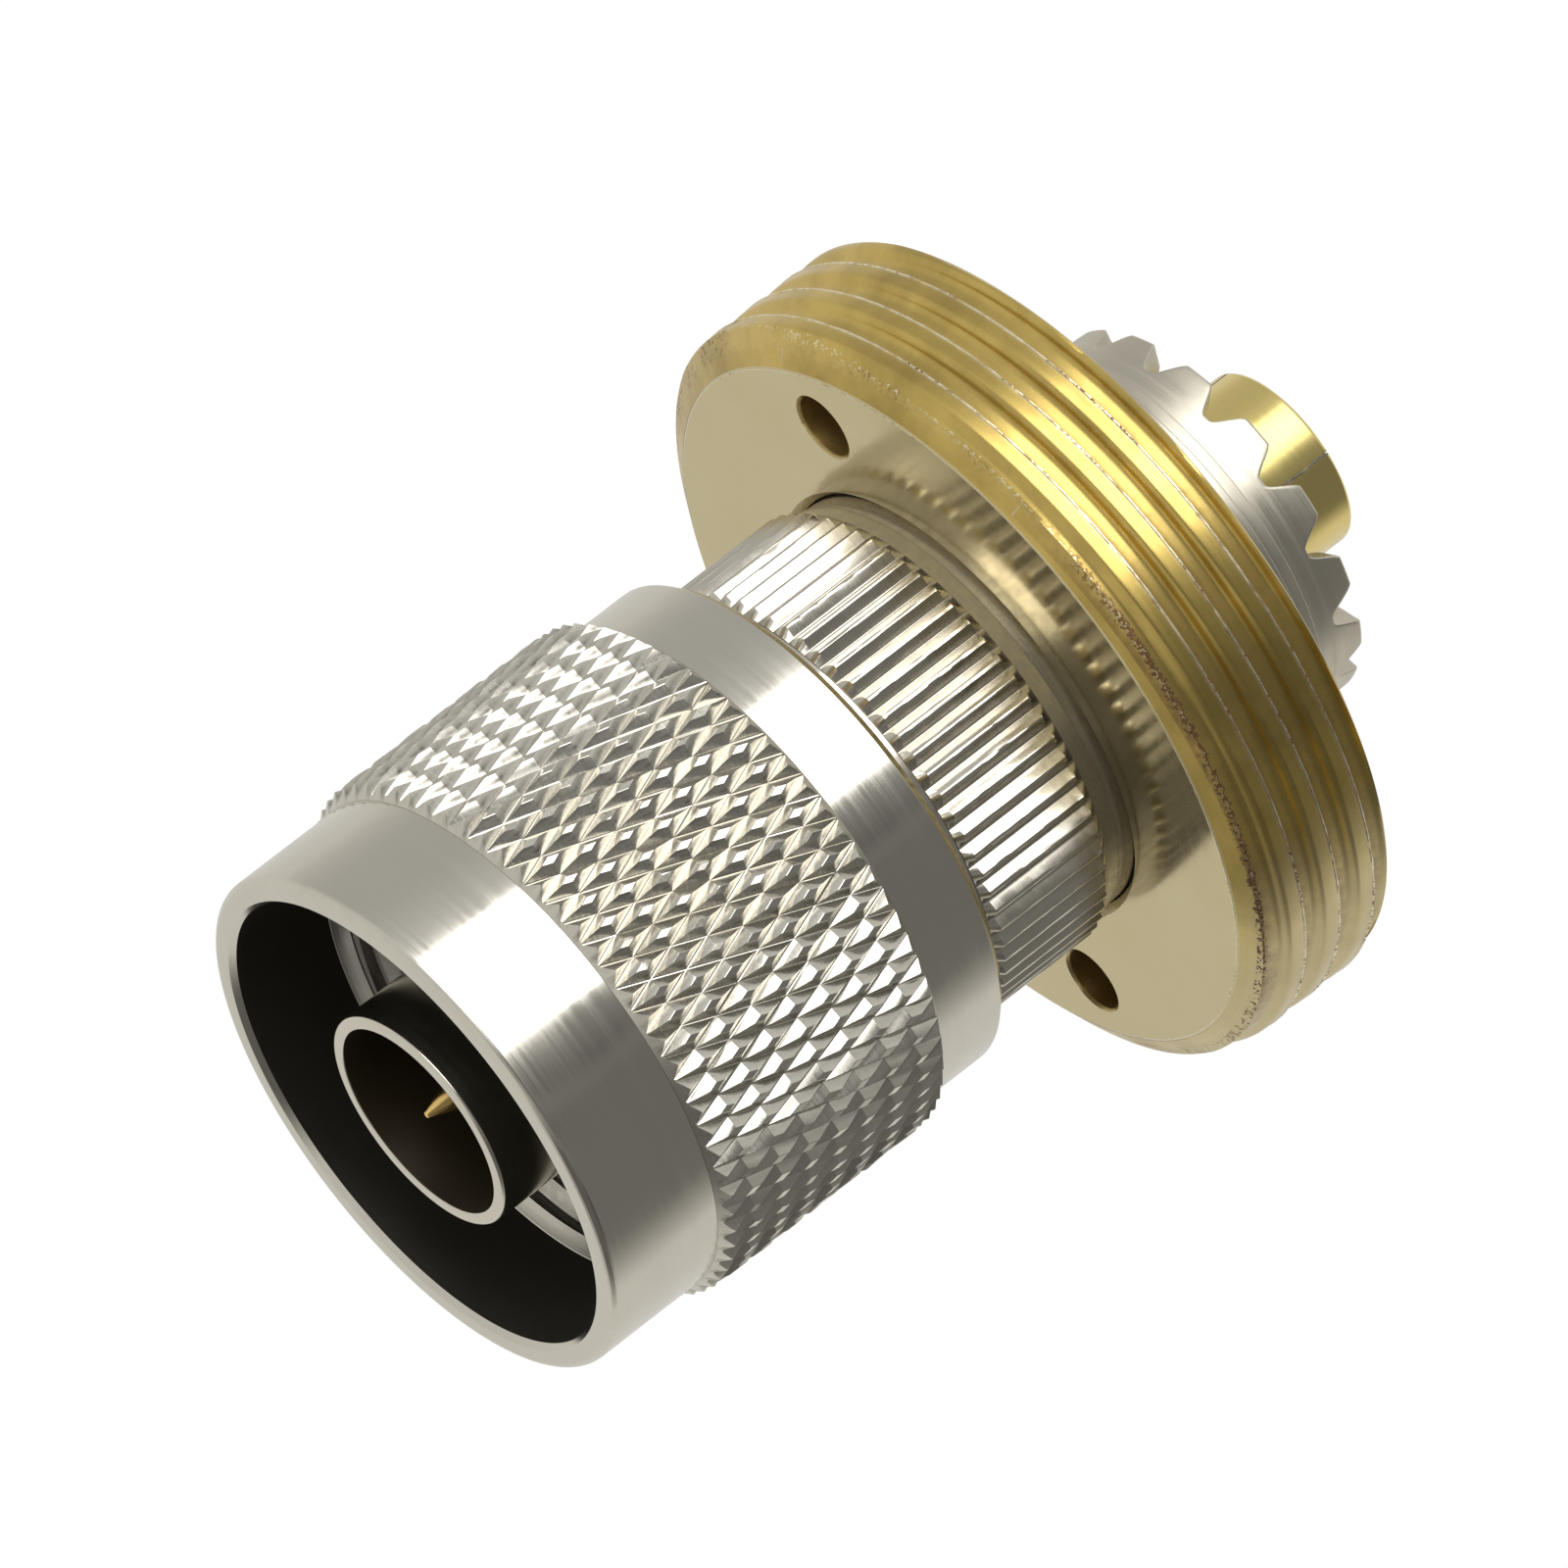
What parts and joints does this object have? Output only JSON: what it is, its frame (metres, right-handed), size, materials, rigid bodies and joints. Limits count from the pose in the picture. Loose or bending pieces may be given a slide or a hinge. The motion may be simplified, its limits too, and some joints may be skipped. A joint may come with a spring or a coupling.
{
  "type": "coaxial adapter",
  "caption": "Coaxial adapter with a knurled coupling nut on the plug end, a loose threaded mounting ring and a toothed crown round a slotted contact at the rear.",
  "frame": {"origin": "centre of the brass ring's front face, on the adapter's axis", "axes": "+Z along the adapter's axis towards the plug end; +X and +Y across it"},
  "size_m": [0.0284, 0.0284, 0.038],
  "materials": {
    "ring_brass": "turned, worn",
    "body_nickel": "nickel plated, knurled",
    "spring_bronze": "plain",
    "gasket_rubber": "matte",
    "nut_nickel": "nickel plated, knurled",
    "rear_nickel": "nickel plated",
    "contact_gold": "gold plated",
    "white_dielectric": "matte",
    "pin_gold": "gold plated"
  },
  "bodies": {
    "connector": {"plug_body": "body_nickel", "rear_body": "rear_nickel", "front_insulator": "white_dielectric", "rear_insulator": "white_dielectric", "centre_pin": "pin_gold", "contact_sleeve": "contact_gold", "gasket": "gasket_rubber"},
    "snap_ring": {"nut_snap_ring": "spring_bronze"},
    "nut": {"coupling_nut": "nut_nickel"},
    "ring": {"threaded_ring": "ring_brass"}
  },
  "joints": [
    {"name": "nut_float", "type": "slide", "parent": "connector", "child": "snap_ring", "axis": [0, 0, 1], "range_m": [0, 0.0005]},
    {"name": "nut_turn", "type": "hinge", "parent": "snap_ring", "child": "nut", "pos_m": [0, 0, 0.0104], "axis": [0, 0, 1], "continuous": true},
    {"name": "ring_turn", "type": "hinge", "parent": "connector", "child": "ring", "pos_m": [0, 0, -0.00285], "axis": [0, 0, 1], "continuous": true}
  ]
}
